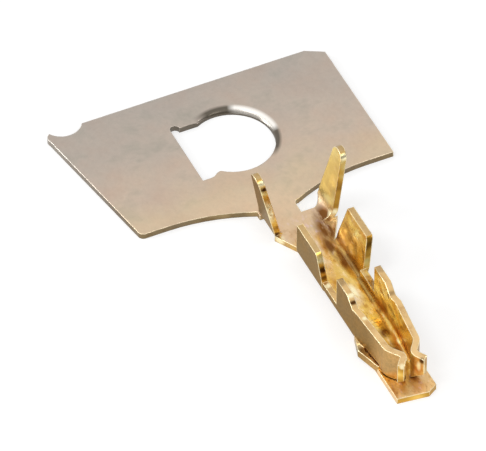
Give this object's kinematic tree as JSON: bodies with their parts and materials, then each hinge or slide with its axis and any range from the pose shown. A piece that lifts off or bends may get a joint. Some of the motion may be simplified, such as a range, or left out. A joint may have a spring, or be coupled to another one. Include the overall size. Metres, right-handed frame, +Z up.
{
  "type": "crimp terminal",
  "caption": "Stamped and folded crimp terminal on a cut piece of carrier strip, with insulation and wire barrels and an open spring contact box.",
  "frame": {"origin": "centre of the strip's pilot hole, on the underside of the sheet", "axes": "+X along the terminal to its tip, +Y across the strip, +Z up out of the open channel"},
  "size_m": [0.0234, 0.0149, 0.0042],
  "materials": {
    "plated_metal": "satin gold plating on the terminal that fades to grey tin on the strip"
  },
  "bodies": {
    "root": {"crimp_terminal": "plated_metal"}
  },
  "joints": []
}
